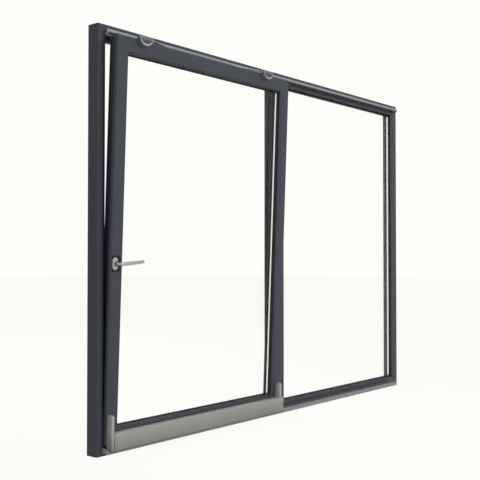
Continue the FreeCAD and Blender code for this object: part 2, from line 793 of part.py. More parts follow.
make_frame()
make_frame_seal()
make_glazing("fixed", fixed_rect, y_room, fixed_glass_back, fixed_bead_width, add)
make_sash()
make_guide_rail()
make_sliders()
make_scissor_arms()
make_scissor_brackets()
make_moon_covers()
make_running_track()
make_carriages()
make_carriage_arms()
make_tilt_bearings()
make_tilt_lugs()
make_bottom_cover()
make_handle()
tilt_sash()
export_nodes()
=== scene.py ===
import json
import math

import bmesh
import bpy
from mathutils import Matrix, Vector


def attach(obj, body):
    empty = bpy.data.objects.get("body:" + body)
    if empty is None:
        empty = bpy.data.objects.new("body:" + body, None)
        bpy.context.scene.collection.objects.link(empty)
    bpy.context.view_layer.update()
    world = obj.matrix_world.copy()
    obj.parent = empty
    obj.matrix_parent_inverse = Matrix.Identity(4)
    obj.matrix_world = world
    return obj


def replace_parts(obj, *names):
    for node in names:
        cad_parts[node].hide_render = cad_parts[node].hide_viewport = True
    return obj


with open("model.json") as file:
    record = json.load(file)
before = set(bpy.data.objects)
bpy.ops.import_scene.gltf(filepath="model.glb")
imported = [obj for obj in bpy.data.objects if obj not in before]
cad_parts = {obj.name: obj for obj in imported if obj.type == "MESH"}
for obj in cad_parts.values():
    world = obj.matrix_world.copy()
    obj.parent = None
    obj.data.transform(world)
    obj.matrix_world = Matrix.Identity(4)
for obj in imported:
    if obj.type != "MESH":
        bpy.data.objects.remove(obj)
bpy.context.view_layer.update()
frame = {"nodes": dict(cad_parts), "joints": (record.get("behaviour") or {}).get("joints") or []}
print("stage: frame loaded,", len(frame["nodes"]), "nodes")

# The sash is drawn closed and then leans in about its tilt pins, as the CAD's does.
tiltJoint = [joint for joint in frame["joints"] if joint["name"] == "tilt"][0]
tiltPoint = Vector(tiltJoint["pos_m"])
tiltAngle = math.radians(tiltJoint["range_deg"][1])
leaned = (Matrix.Translation(tiltPoint) @ Matrix.Rotation(tiltAngle, 4, "X")
          @ Matrix.Translation(-tiltPoint))

# The closed sash's edges, its face towards the room and its stiles' width, in metres
sash = {
    "left": -1.465,
    "right": -0.043,
    "bottom": 0.053,
    "top": 2.087,
    "room": -0.063,
    "stile": 0.058,
}


def toLinear(hexColour):
    channels = [int(hexColour[i:i + 2], 16) / 255 for i in (1, 3, 5)]
    linear = [c / 12.92 if c <= 0.04045 else ((c + 0.055) / 1.055) ** 2.4 for c in channels]
    return (*linear, 1.0)


def addNode(tree, kind, settings=None, links=None):
    node = tree.nodes.new(kind)
    for name, value in (settings or {}).items():
        if isinstance(name, int) or name in node.inputs:
            node.inputs[name].default_value = value
        else:
            setattr(node, name, value)
    for name, source in (links or {}).items():
        tree.links.new(source, node.inputs[name])
    return node


def newMaterial(name, settings):
    material = bpy.data.materials.new(name)
    material.use_nodes = True
    surface = material.node_tree.nodes["Principled BSDF"]
    for socket, value in settings.items():
        surface.inputs[socket].default_value = value
    return material, material.node_tree, surface


# Noise on Object coordinates; each stretch number is cycles to the metre along that axis
def placedNoise(tree, stretch, detail=3.0):
    place = addNode(tree, "ShaderNodeTexCoord")
    mapping = addNode(tree, "ShaderNodeMapping", {"Scale": stretch},
                      {"Vector": place.outputs["Object"]})
    noise = addNode(tree, "ShaderNodeTexNoise", {"Scale": 1.0, "Detail": detail},
                    {"Vector": mapping.outputs["Vector"]})
    return noise.outputs["Fac"]


# A share that grows from 0 to 1 between two heights
def shareByHeight(tree, low, high):
    place = addNode(tree, "ShaderNodeTexCoord")
    axes = addNode(tree, "ShaderNodeSeparateXYZ", {}, {"Vector": place.outputs["Object"]})
    rise = addNode(tree, "ShaderNodeMapRange", {"From Min": low, "From Max": high},
                   {"Value": axes.outputs["Z"]})
    return rise.outputs["Result"]


def tintBetween(tree, surface, share, low, high):
    mix = addNode(tree, "ShaderNodeMix", {"data_type": "RGBA", 6: toLinear(low), 7: toLinear(high)},
                  {0: share})
    tree.links.new(mix.outputs[2], surface.inputs["Base Color"])


def roughBetween(tree, surface, share, low, high):
    spread = addNode(tree, "ShaderNodeMapRange", {"From Min": 0.3, "From Max": 0.7,
                                                  "To Min": low, "To Max": high}, {"Value": share})
    tree.links.new(spread.outputs["Result"], surface.inputs["Roughness"])


def bumpFrom(tree, surface, share, distance, strength=1.0):
    bump = addNode(tree, "ShaderNodeBump", {"Distance": distance, "Strength": strength},
                   {"Height": share})
    tree.links.new(bump.outputs["Normal"], surface.inputs["Normal"])


# A finish whose tint and roughness follow one noise, as does its relief where it has one
def makeFinish(name, shader, look):
    material, tree, surface = newMaterial(name, shader)
    noise = placedNoise(tree, look["stretch"], look.get("detail", 3.0))
    tintBetween(tree, surface, noise, look["low"], look["high"])
    roughBetween(tree, surface, noise, *look["rough"])
    if "relief" in look:
        bumpFrom(tree, surface, noise, look["relief"], look.get("strength", 1.0))
    return material


# Anthracite foil laminated on extruded PVC: satin, with a fine grain pressed along each bar.
# The real grain is 0.4 mm wide; it is drawn at 2 mm so that it shows.
foilShader = {"IOR": 1.5, "Specular IOR Level": 0.22}
foil = {"low": "#444750", "high": "#4D505A", "rough": (0.40, 0.52), "relief": 0.00008,
        "strength": 0.5}
foilUpright = makeFinish("foilGrainUpright", foilShader, {**foil, "stretch": (500.0, 500.0, 14.0)})
foilLevel = makeFinish("foilGrainLevel", foilShader, {**foil, "stretch": (14.0, 500.0, 500.0)})

# Low-iron float glass: clear, mirror smooth. Lamps shine through it to the spacer and the seals.
floatGlass, tree, surface = newMaterial("floatGlass", {
    "Base Color": toLinear("#FFFFFF"), "Roughness": 0.0, "IOR": 1.16, "Transmission Weight": 1.0})
rays = addNode(tree, "ShaderNodeLightPath")
clear = addNode(tree, "ShaderNodeBsdfTransparent")
lampsPass = addNode(tree, "ShaderNodeMixShader", {}, {
    0: rays.outputs["Is Shadow Ray"], 1: surface.outputs["BSDF"], 2: clear.outputs["BSDF"]})
tree.links.new(lampsPass.outputs[0], tree.nodes["Material Output"].inputs["Surface"])

# Bright rolled aluminium spacer bar; its fine perforation is drawn as a 4 mm mottle
spacerMetal = makeFinish("brightSpacerAluminium", {"Metallic": 0.95}, {
    "low": "#F0F2F1", "high": "#FBFCFB", "stretch": (250.0,) * 3, "rough": (0.18, 0.28)})

# Extruded EPDM rubber: near black, matt, with a slight drag texture
epdmRubber = makeFinish("epdmRubber", {"IOR": 1.5}, {
    "low": "#0F1113", "high": "#181A1C", "stretch": (900.0,) * 3, "rough": (0.55, 0.75),
    "relief": 0.00005})

# Anodised aluminium extrusion: silver, with die lines along its length
anodised = makeFinish("anodisedAluminium", {"Metallic": 0.75}, {
    "low": "#8E8F94", "high": "#989A9E", "stretch": (1.0, 240.0, 240.0), "rough": (0.30, 0.42),
    "relief": 0.00003})

# The sill track is the same extrusion, dulled by wear
wornTrack = makeFinish("wornTrackAluminium", {"Metallic": 0.6}, {
    "low": "#84868A", "high": "#8E9094", "stretch": (1.0, 240.0, 240.0), "rough": (0.38, 0.52),
    "relief": 0.00003})

# Painted extrusion of the bottom cover: warm grey, satin, faint orange peel.
# Its colour is painted lighter towards the top and darker at its foot: painted light and shade for
# how the light falls on the crowned face and the rolled foot.
coverPaint = {"low": "#8F908A", "high": "#B2B3AD", "foot": "#5F605B", "peel": 260.0,
              "rough": (0.38, 0.50), "relief": 0.00006,
              "shade": (0.026, 0.112), "footShade": (0.024, 0.036)}
greyCover, tree, surface = newMaterial("greyCoverPaint", {"IOR": 1.5})
peel = placedNoise(tree, (coverPaint["peel"],) * 3)
roughBetween(tree, surface, peel, *coverPaint["rough"])
bumpFrom(tree, surface, peel, coverPaint["relief"])
# Colour runs from low to high with height, painted shade below and painted light above; the foot
# colour is painted shade on the rolled foot
paintedShadeByHeight = addNode(tree, "ShaderNodeMix", {"data_type": "RGBA", 6: toLinear(coverPaint["low"]),
                                        7: toLinear(coverPaint["high"])},
                {0: shareByHeight(tree, *coverPaint["shade"])})
paintedFootShade = addNode(tree, "ShaderNodeMix", {"data_type": "RGBA", 6: toLinear(coverPaint["foot"])},
                  {0: shareByHeight(tree, *coverPaint["footShade"]), 7: paintedShadeByHeight.outputs[2]})
tree.links.new(paintedFootShade.outputs[2], surface.inputs["Base Color"])

# Moulded polyamide of the caps' fins and the track's stops: a touch lighter, finely eroded face
greyCaps = makeFinish("greyMouldedCaps", {"IOR": 1.53}, {
    "low": "#B4B6B2", "high": "#BDBEBB", "stretch": (1200.0,) * 3, "rough": (0.45, 0.58),
    "relief": 0.00004})

# Moulded dark polyamide: the rail's sliders and the lip on the stile's rear edge
darkPlastic = makeFinish("darkMouldedPolyamide", {"IOR": 1.53}, {
    "low": "#3A3C3C", "high": "#464848", "stretch": (1200.0,) * 3, "rough": (0.42, 0.55),
    "relief": 0.00004})

# Black polyamide: the handle's base plate and neck bush, partly painted shadow round the rosette
# and collar, and the painted shadow line under the left cap's flange
blackPlastic = makeFinish("blackMouldedPolyamide", {"IOR": 1.53, "Specular IOR Level": 0.25}, {
    "low": "#090A0B", "high": "#111214", "stretch": (1200.0,) * 3, "rough": (0.38, 0.50)})

# The half-moon covers' faces are painted darker low down and lighter at the top: painted shade
# below and painted light above
moonPaintedShade = {"low": "#3A3C3B", "high": "#8E8F8E", "paintedShadeHeights": (2.076, 2.100)}
moonPlastic, tree, surface = newMaterial("moonMouldedPolyamide", {"IOR": 1.53, "Roughness": 0.42})
tintBetween(tree, surface, shareByHeight(tree, *moonPaintedShade["paintedShadeHeights"]), moonPaintedShade["low"],
            moonPaintedShade["high"])

# Their side walls are moulded in a mid grey that sits close to the foil
wallPlastic = makeFinish("greyMouldedWall", {"IOR": 1.53}, {
    "low": "#6E7076", "high": "#7A7C82", "stretch": (900.0,) * 3, "rough": (0.45, 0.58)})

# Bright trim on the half-moon covers: aluminium look, smooth
brightRim = makeFinish("brightRimTrim", {"Metallic": 0.5}, {
    "low": "#9A9BA0", "high": "#ABACB0", "stretch": (90.0,) * 3, "rough": (0.28, 0.36)})

# Die-cast handle, satin silver lacquer
satinSilver = makeFinish("satinSilverLacquer", {"Metallic": 0.6}, {
    "low": "#A8A9AA", "high": "#B6B7B8", "stretch": (1500.0,) * 3, "rough": (0.27, 0.36),
    "relief": 0.00002})

# Black-chromated steel of the lock's faceplate, cams and keeps
blackSteel = makeFinish("blackChromatedSteel", {"Metallic": 0.5}, {
    "low": "#2C2F32", "high": "#3A3D41", "stretch": (80.0,) * 3, "detail": 5.0,
    "rough": (0.40, 0.55)})

# Zinc-plated steel of arms, brackets, lugs and screws: cool grey with cloudy passivation
zincSteel = makeFinish("zincPlatedSteel", {"Metallic": 0.9}, {
    "low": "#8F9296", "high": "#B4B6B8", "stretch": (60.0,) * 3, "detail": 6.0,
    "rough": (0.30, 0.45)})

finishes = [
    (foilUpright, ["frame_jamb_left", "frame_jamb_right", "mullion", "sash_stile_left",
                   "sash_stile_right", "fixed_bead_left", "fixed_bead_right",
                   "sash_bead_left", "sash_bead_right"]),
    (foilLevel, ["frame_head", "frame_sill", "sash_rail_top", "sash_rail_bottom",
                 "fixed_bead_top", "fixed_bead_bottom", "sash_bead_top", "sash_bead_bottom"]),
    (floatGlass, ["fixed_panes", "sash_panes"]),
    (spacerMetal, ["fixed_spacer", "sash_spacer"]),
    (epdmRubber, ["frame_seal", "fixed_gaskets", "sash_gaskets", "sash_seals"]),
    (anodised, ["guide_rail", "guide_rail_caps"]),
    (wornTrack, ["running_track", "track_end_stops"]),
    (greyCover, ["bottom_cover"]),
    (greyCaps, ["cover_cap_left", "cover_cap_right"]),
    (darkPlastic, ["scissor_sliders"]),
    (moonPlastic, ["scissor_caps"]),
    (blackPlastic, ["handle_base"]),
    (brightRim, ["scissor_cap_rims"]),
    (satinSilver, ["handle_rosette", "handle_lever"]),
    (zincSteel, ["scissor_arm_left", "scissor_arm_right", "scissor_pin_left",
                 "scissor_pin_right", "scissor_brackets", "carriages", "carriage_arm_left",
                 "carriage_arm_right", "tilt_bearings", "tilt_lugs"]),
]
for material, names in finishes:
    for name in names:
        for materialSlot in frame["nodes"][name].material_slots:
            materialSlot.material = material
print("stage: finishes on every node")


# Turns a bmesh into a piece at the origin that rides on a body
def finishPiece(name, shape, material, body, tilted=False, smoothAngle=40.0):
    if tilted:
        bmesh.ops.transform(shape, matrix=leaned, verts=shape.verts)
    bmesh.ops.remove_doubles(shape, verts=shape.verts, dist=0.00001)
    bmesh.ops.recalc_face_normals(shape, faces=shape.faces)
    mesh = bpy.data.meshes.new(name)
    shape.to_mesh(mesh)
    shape.free()
    piece = bpy.data.objects.new(name, mesh)
    bpy.context.scene.collection.objects.link(piece)
    mesh.materials.append(material)
    mesh.shade_smooth()
    mesh.set_sharp_from_angle(angle=math.radians(smoothAngle))
    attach(piece, body)
    return piece


# The same with the crease angle of a sharp-edged section
def finishSection(name, shape, material, body, tilted=False):
    return finishPiece(name, shape, material, body, tilted, 35.0)


def onlyVerts(items):
    return [item for item in items if isinstance(item, bmesh.types.BMVert)]


def onlyEdges(items):
    return [item for item in items if isinstance(item, bmesh.types.BMEdge)]


def onlyFaces(items):
    return [item for item in items if isinstance(item, bmesh.types.BMFace)]


# A place on a wall that faces the room: local x stays X, y goes up, z comes to the room
def facingRoom(x, y, z):
    return Matrix.Translation((x, y, z)) @ Matrix.Rotation(math.pi / 2, 4, "X")


# A plate on its back with round corners and a softened front edge; oval if no corner is given
plateSides = 24


def addOvalPlate(shape, place, width, height, thickness, edge, corner=None):
    radius = corner or width / 2
    ring = bmesh.ops.create_circle(shape, cap_ends=True, segments=plateSides, radius=radius,
                                   matrix=Matrix.Rotation(math.pi / plateSides, 4, "Z"))["verts"]
    for vert in ring:
        side = 1 if vert.co.x > 0 else -1
        end = 1 if vert.co.y > 0 else -1
        bmesh.ops.translate(shape, verts=[vert],
                            vec=(side * (width / 2 - radius), end * (height / 2 - radius), 0))
    back = ring[0].link_faces[0]
    front = bmesh.ops.extrude_face_region(shape, geom=[back])["geom"]
    bmesh.ops.translate(shape, verts=onlyVerts(front), vec=(0, 0, thickness))
    rim = onlyFaces(front)[0].edges[:]
    bevelled = bmesh.ops.bevel(shape, geom=rim, offset=edge, segments=4, profile=0.5,
                               affect="EDGES", material=-1)
    made = set(ring) | set(onlyVerts(front)) | {v for f in bevelled["faces"] for v in f.verts}
    bmesh.ops.transform(shape, matrix=place, verts=[v for v in made if v.is_valid])


# Lever handle on an oval rosette, turned across to its tilt position.
# Each plate gives width, height, thickness, edge and, where it isn't oval, corner.
handle = {
    "x": sash["left"] + 0.028,
    "z": 0.953,
    # The base plate is drawn wider than the rosette and set to its right, so its black also stands
    # in for the rosette's shadow: painted shadow
    "base": (0.0540, 0.0810, 0.0025, 0.0010, 0.009),
    "baseShift": 0.0048,
    "rosette": (0.032, 0.064, 0.006, 0.0026),
    "rosetteShift": -0.005,
    # The black bush round the neck stands in for the contact shadow round the collar: painted
    # shadow
    "bush": (0.0250, 0.0250, 0.0018, 0.0006),
    "bushSunk": 0.0003,
    "neckRadius": 0.0085,
    "neckSunk": 0.0025,
    "neckShares": (0.1, 0.4, 0.5),
    "sides": 20,
    "collarRadius": 0.0092,
    "collarHeight": 0.004,
    "collarEdge": 0.0012,
    "collarTaper": 0.93,
    "collarStep": 0.0004,
    "reach": 0.053,
    "bend": 0.013,
    "bendSteps": 7,
    "length": 0.151,
    "gripSteps": 8,
    "rise": 0.0105,
    "setBack": 0.003,
    "high": (0.0200, 0.0170),
    "thick": (0.0140, 0.0115),
    "tip": ((0.0010, 0.97), (0.0012, 0.86), (0.0006, 0.55)),
}


# Extrudes an open ring of edges to a new section, moved and scaled about its own centre
def extendRing(shape, ring, move, scale):
    grown = bmesh.ops.extrude_edge_only(shape, edges=ring)["geom"]
    verts = onlyVerts(grown)
    bmesh.ops.translate(shape, verts=verts, vec=move)
    centre = sum((v.co for v in verts), Vector()) / len(verts)
    bmesh.ops.scale(shape, verts=verts, vec=scale, space=Matrix.Translation(-centre))
    return [edge for edge in onlyEdges(grown) if all(v in verts for v in edge.verts)]


def makePlates():
    baseThickness = handle["base"][2]
    for key, name, node, material, slot, back in (
            ("base", "handleBasePlate", "handle_base", blackPlastic, "dark_plastic", 0.0),
            ("rosette", "handleRosettePlate", "handle_rosette", satinSilver, "satin_silver",
             baseThickness)):
        shape = bmesh.new()
        addOvalPlate(shape, facingRoom(handle["x"] + handle[key + "Shift"], sash["room"] - back,
                                       handle["z"]), *handle[key])
        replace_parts(finishPiece(name, shape, material, "sash", True), node)
    shape = bmesh.new()
    front = baseThickness + handle["rosette"][2]
    addOvalPlate(shape, facingRoom(handle["x"], sash["room"] - front + handle["bushSunk"],
                                   handle["z"]), *handle["bush"])
    finishPiece("handleNeckShadowBush", shape, blackPlastic, "sash", True)


# The neck comes out of a stepped collar, turns a right angle and becomes the grip
def makeLever():
    high, thick = handle["high"], handle["thick"]
    bend, neckRadius = handle["bend"], handle["neckRadius"]
    foot = handle["base"][2] + handle["rosette"][2] - handle["neckSunk"]
    shape = bmesh.new()
    circle = bmesh.ops.create_circle(shape, cap_ends=True, segments=handle["sides"],
                                     radius=handle["collarRadius"],
                                     matrix=Matrix.Translation((0, 0, foot)))
    ring = circle["verts"][0].link_faces[0].edges[:]
    taper = handle["collarTaper"]
    narrow = neckRadius / (handle["collarRadius"] * taper)
    neckTop = handle["reach"] - thick[0] / 2 - bend
    run = neckTop - foot
    for length, scale in ((handle["collarHeight"], 1), (handle["collarEdge"], taper),
                          (handle["collarStep"], narrow)):
        ring = extendRing(shape, ring, (0, 0, length), (scale, scale, 1))
        run -= length
    for share in handle["neckShares"]:
        ring = extendRing(shape, ring, (0, 0, run * share), (1, 1, 1))
    turned = bmesh.ops.spin(shape, geom=ring, cent=(bend, 0, neckTop), axis=(0, 1, 0),
                            angle=math.pi / 2, steps=handle["bendSteps"],
                            use_duplicate=False)["geom_last"]
    ring = onlyEdges(turned)
    steps = handle["gripSteps"]
    along = (handle["length"] - bend) / steps
    first = (1, high[0] / 2 / neckRadius, thick[0] / 2 / neckRadius)
    root = 1 / (steps - 1)
    later = (1, (high[1] / high[0]) ** root, (thick[1] / thick[0]) ** root)
    for step in range(steps):
        back = -handle["setBack"] * ((step + 1) ** 2 - step ** 2) / steps ** 2
        ring = extendRing(shape, ring, (along, handle["rise"] / steps, back),
                          later if step else first)
    for move, shrink in handle["tip"]:
        ring = extendRing(shape, ring, (move, 0, 0), (1, shrink, shrink))
    bmesh.ops.contextual_create(shape, geom=ring)
    bmesh.ops.transform(shape, matrix=facingRoom(handle["x"], sash["room"], handle["z"]),
                        verts=shape.verts)
    lever = finishPiece("handleLever", shape, satinSilver, "handle", True, 60)
    smooth = lever.modifiers.new("smooth", "SUBSURF")
    smooth.levels = smooth.render_levels = 1
    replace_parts(lever, "handle_lever")


makePlates()
makeLever()
print("stage: handle")

# Half-moon covers over the scissor brackets: open at the back and top, with a window for the arm.
# Each layer of a cover's front gives its depth and how far it draws in.
halfMoon = {
    "x": {"left": -1.297, "right": -0.289},
    "centre": 2.099,
    "over": 0.0015,
    "sides": 96,
    "radius": 0.046,
    "depth": 0.028,
    "layers": ((0.0245, 0.0), (0.0015, 0.0008), (0.0012, 0.0022), (0.0008, 0.006)),
    "wall": 0.0020,
    "window": 0.012,
    "windowDepth": 0.024,
    "railGap": 0.008,
    "sideFacing": 0.6,
    # The trim's inner circle is shifted up, so the trim is a crescent: painted highlight at its
    # foot
    "trim": {"radius": 0.0470, "shift": 0.0115, "thickness": 0.0014, "edge": 0.0004},
}


def placeMoon(side):
    return facingRoom(halfMoon["x"][side], sash["room"], halfMoon["centre"])


# Cuts an edge line through every face, and clears what lies beyond it if that is asked
def scorePlane(shape, point, normal, clear=False):
    bmesh.ops.bisect_plane(shape, geom=shape.verts[:] + shape.edges[:] + shape.faces[:],
                           plane_co=point, plane_no=normal, clear_outer=clear)


def isOpening(face, inward):
    middle = face.calc_center_median()
    if abs(face.normal.z) >= 0.3:
        return False
    high = middle.y > -halfMoon["window"]
    besideArm = high and middle.x * inward > 0 and middle.z < halfMoon["windowDepth"]
    behindRail = high and middle.z < halfMoon["railGap"]
    return face.normal.y > 0.9 or besideArm or behindRail


def makeHalfMoon(side):
    inward = 1 if side == "left" else -1
    shape = bmesh.new()
    bmesh.ops.create_circle(shape, cap_ends=True, segments=halfMoon["sides"],
                            radius=halfMoon["radius"])
    scorePlane(shape, (0, halfMoon["over"], 0), (0, 1, 0), True)
    front = shape.faces[:]
    for depth, inset in halfMoon["layers"]:
        grown = bmesh.ops.extrude_face_region(shape, geom=front)["geom"]
        bmesh.ops.delete(shape, geom=[f for f in front if f.is_valid], context="FACES_ONLY")
        front = onlyFaces(grown)
        bmesh.ops.translate(shape, verts=onlyVerts(grown), vec=(0, 0, depth))
        if inset:
            shrink = 1 - inset / halfMoon["radius"]
            bmesh.ops.scale(shape, verts=onlyVerts(grown), vec=(shrink, shrink, 1))
    # The scored lines part the faces along the openings
    scorePlane(shape, (0, -halfMoon["window"], 0), (0, 1, 0))
    scorePlane(shape, (0, 0, halfMoon["railGap"]), (0, 0, 1))
    scorePlane(shape, (0, 0, 0), (1, 0, 0))
    bmesh.ops.delete(shape, geom=[face for face in shape.faces if isOpening(face, inward)],
                     context="FACES")
    bmesh.ops.recalc_face_normals(shape, faces=shape.faces)
    bmesh.ops.solidify(shape, geom=shape.faces[:], thickness=halfMoon["wall"])
    bmesh.ops.transform(shape, matrix=placeMoon(side), verts=shape.verts)
    cover = finishSection(f"halfMoonCover_{side}", shape, moonPlastic, "sash", True)
    cover.data.materials.append(wallPlastic)
    for polygon in cover.data.polygons:
        if abs(polygon.normal.y) < halfMoon["sideFacing"]:
            polygon.material_index = 1
    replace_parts(cover, "scissor_caps")


# The bright trim is a crescent: broad at its foot and thin at its horns. The trim is real; its
# crescent shape is a painted highlight where its edge catches the light at the foot
def makeCrescent(side):
    trim = halfMoon["trim"]
    shape = bmesh.new()
    bmesh.ops.create_circle(shape, segments=halfMoon["sides"], radius=halfMoon["radius"])
    bmesh.ops.create_circle(shape, segments=halfMoon["sides"], radius=trim["radius"],
                            matrix=Matrix.Translation((0, trim["shift"], 0)))
    bmesh.ops.bridge_loops(shape, edges=shape.edges[:])
    scorePlane(shape, (0, halfMoon["over"], 0), (0, 1, 0), True)
    grown = bmesh.ops.extrude_face_region(shape, geom=shape.faces[:])["geom"]
    bmesh.ops.translate(shape, verts=onlyVerts(grown), vec=(0, 0, trim["thickness"]))
    front = set(onlyFaces(grown))
    edges = [edge for edge in shape.edges if front.intersection(edge.link_faces)
             and len(edge.link_faces) == 2 and edge.calc_face_angle(0) > 1.0]
    bmesh.ops.bevel(shape, geom=edges, offset=trim["edge"], segments=2, profile=0.5,
                    affect="EDGES", material=-1)
    bmesh.ops.translate(shape, verts=shape.verts, vec=(0, 0, halfMoon["depth"]))
    bmesh.ops.transform(shape, matrix=placeMoon(side), verts=shape.verts)
    crescent = finishSection(f"halfMoonTrim_{side}", shape, brightRim, "sash", True)
    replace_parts(crescent, "scissor_cap_rims")


for side in ("left", "right"):
    makeHalfMoon(side)
    makeCrescent(side)
print("stage: half-moon covers")


# Runs an open (y, z) line along X as a sheet with a wall thickness
def runSheet(shape, line, start, end, wall):
    verts = [shape.verts.new((start, y, z)) for y, z in line]
    edges = [shape.edges.new(pair) for pair in zip(verts, verts[1:])]
    grown = bmesh.ops.extrude_edge_only(shape, edges=edges)["geom"]
    bmesh.ops.translate(shape, verts=onlyVerts(grown), vec=(end - start, 0, 0))
    faces = onlyFaces(grown)
    bmesh.ops.recalc_face_normals(shape, faces=faces)
    bmesh.ops.solidify(shape, geom=faces, thickness=wall)


# Runs a closed (y, z) outline along X as a block; edges near its front are softened
softDepth = 0.014


def runBlock(shape, outline, start, end, radius):
    verts = [shape.verts.new((start, y, z)) for y, z in outline]
    back = bmesh.ops.contextual_create(shape, geom=verts)["faces"]
    grown = bmesh.ops.extrude_face_region(shape, geom=back)["geom"]
    bmesh.ops.translate(shape, verts=onlyVerts(grown), vec=(end - start, 0, 0))
    front = min(y for y, z in outline)
    soft = {vert for vert in verts + onlyVerts(grown) if vert.co.y < front + softDepth}
    corners = [edge for edge in shape.edges if soft.issuperset(edge.verts)]
    bmesh.ops.bevel(shape, geom=corners, offset=radius, segments=4, profile=0.5,
                    affect="EDGES", material=-1)


# The same for a rectangle; ys, zs and run are pairs of lower and upper bound
def runBar(shape, ys, zs, run, radius):
    runBlock(shape, [(ys[0], zs[0]), (ys[0], zs[1]), (ys[1], zs[1]), (ys[1], zs[0])], *run, radius)


# Cover along the sash's foot: a roll-formed profile with a gently crowned face and a rolled foot
cover = {
    "start": -1.4378,
    "end": -0.0842,
    "bottom": 0.023,
    "top": 0.114,
    "front": sash["room"] - 0.036,
    "crown": 0.0030,
    "faceSteps": 12,
    "topRadius": 0.004,
    "topShoulder": (0.0014, 0.0010),
    "rolled": (0.0088, 0.011),
    "rolledSteps": 5,
    "wall": 0.0022,
}


def coverLine():
    rollDeep, rollHigh = cover["rolled"]
    top, topRadius, front = cover["top"], cover["topRadius"], cover["front"]
    middle = (cover["bottom"] + top) / 2
    half = (top - cover["bottom"]) / 2
    low = cover["bottom"] + rollHigh
    foot = front + cover["crown"] * ((low - middle) / half) ** 2
    line = []
    for step in range(cover["rolledSteps"]):
        angle = math.pi / 2 * step / cover["rolledSteps"]
        line.append((foot + rollDeep * (1 - math.sin(angle)), low - rollHigh * math.cos(angle)))
    for step in range(cover["faceSteps"] + 1):
        z = low + (top - topRadius - low) * step / cover["faceSteps"]
        line.append((front + cover["crown"] * ((z - middle) / half) ** 2, z))
    shoulderIn, shoulderDown = cover["topShoulder"]
    line.append((line[-1][0] + shoulderIn, top - shoulderDown))
    line.append((line[-1][0] + topRadius, top))
    line.append((sash["room"], top))
    return line


def makeCover():
    shape = bmesh.new()
    runSheet(shape, coverLine(), cover["start"], cover["end"], -cover["wall"])
    profile = finishSection("crownedCover", shape, greyCover, "sash", True)
    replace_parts(profile, "bottom_cover")


# Moulded end caps: a painted block at each end, a fin above it, and at the left a flange over
# the cover's edge with a black strip under it as its painted shadow line. The plug ties fin and
# block.
caps = {
    "hook": -0.088,
    "notch": 0.046,
    "slope": (0.003, 0.020),
    "bodyRadius": 0.003,
    "left": {"body": (-1.458, -1.438), "fin": (-1.458, -1.438)},
    "right": {"body": (-0.084, -0.045), "fin": (-0.084, -0.064)},
    "fin": {"foot": 0.1146, "top": 0.206, "front": -0.0965, "slope": (0.0096, 0.012),
            "radius": 0.005},
    "plug": {"back": 0.003, "half": 0.006, "inset": 0.0015, "radius": 0.0004},
    "flange": {"run": (-1.4385, -1.387), "z": (0.1000, 0.1150), "proud": 0.0008, "slope": 0.005,
               "deep": 0.012, "radius": 0.0008},
    # The joint row is the black strip under the flange: painted shadow line
    "joint": {"run": (-1.4300, -1.387), "z": (0.0970, 0.1000), "proud": 0.0002, "deep": 0.008,
              "radius": 0.0003},
}


def makeCapBody(side):
    room, front, top = sash["room"], cover["front"], cover["top"]
    slopeIn, slopeDown = caps["slope"]
    shape = bmesh.new()
    runBlock(shape, [(front, cover["bottom"]), (front, top - slopeDown), (front + slopeIn, top),
                     (room, top), (room, caps["notch"]), (caps["hook"], caps["notch"]),
                     (caps["hook"], cover["bottom"])], *caps[side]["body"], caps["bodyRadius"])
    # The cap bodies take the cover's paint, with its painted shade by height
    body = finishSection(f"coverCap_{side}", shape, greyCover, "sash", True)
    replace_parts(body, f"cover_cap_{side}")


def makeCapFin(side):
    room, fin, plug, flange = sash["room"], caps["fin"], caps["plug"], caps["flange"]
    front, foot, top = fin["front"], fin["foot"], fin["top"]
    slopeIn, slopeDown = fin["slope"]
    start, end = caps[side]["fin"]
    shape = bmesh.new()
    runBlock(shape, [(front, foot), (front, top - slopeDown), (front + slopeIn, top), (room, top),
                     (room, foot)], start, end, fin["radius"])
    runBar(shape, (front + plug["back"], room), (foot - plug["half"], foot + plug["half"]),
           (start + plug["inset"], end - plug["inset"]), plug["radius"])
    if side == "left":
        low, high = flange["z"]
        outer, inner = cover["front"] - flange["proud"], cover["front"] + flange["deep"]
        runBlock(shape, [(outer, low), (outer, high - flange["slope"]),
                         (cover["front"] + flange["slope"], high), (inner, high), (inner, low)],
                 *flange["run"], flange["radius"])
    finishSection(f"capFin_{side}", shape, greyCaps, "sash", True)


def makeCapFlangeShadow():
    joint = caps["joint"]
    shape = bmesh.new()
    runBar(shape, (cover["front"] - joint["proud"], cover["front"] + joint["deep"]), joint["z"],
           joint["run"], joint["radius"])
    finishPiece("capFlangeShadow", shape, blackPlastic, "sash", True)


makeCover()
for side in ("left", "right"):
    makeCapBody(side)
    makeCapFin(side)
makeCapFlangeShadow()
print("stage: cover and caps")

# Running track: an open channel with a rib for the rollers, shorter than the frame at its right end
track = {
    "start": -1.468,
    "end": 1.414,
    "front": -0.083,
    "back": -0.038,
    "foot": 0.012,
    "top": 0.042,
    "wall": 0.003,
    "sheet": 0.0015,
    "lip": 0.007,
    "rib": {"middle": -0.0605, "width": 0.005, "height": 0.005, "sunk": 0.001, "radius": 0.0008},
    "stop": {"length": 0.024, "gap": 0.0035, "drop": 0.004, "radius": 0.0015},
    "screws": {"count": 8, "inset": 0.12, "line": -0.072, "size": (0.0035, 0.0014)},
}


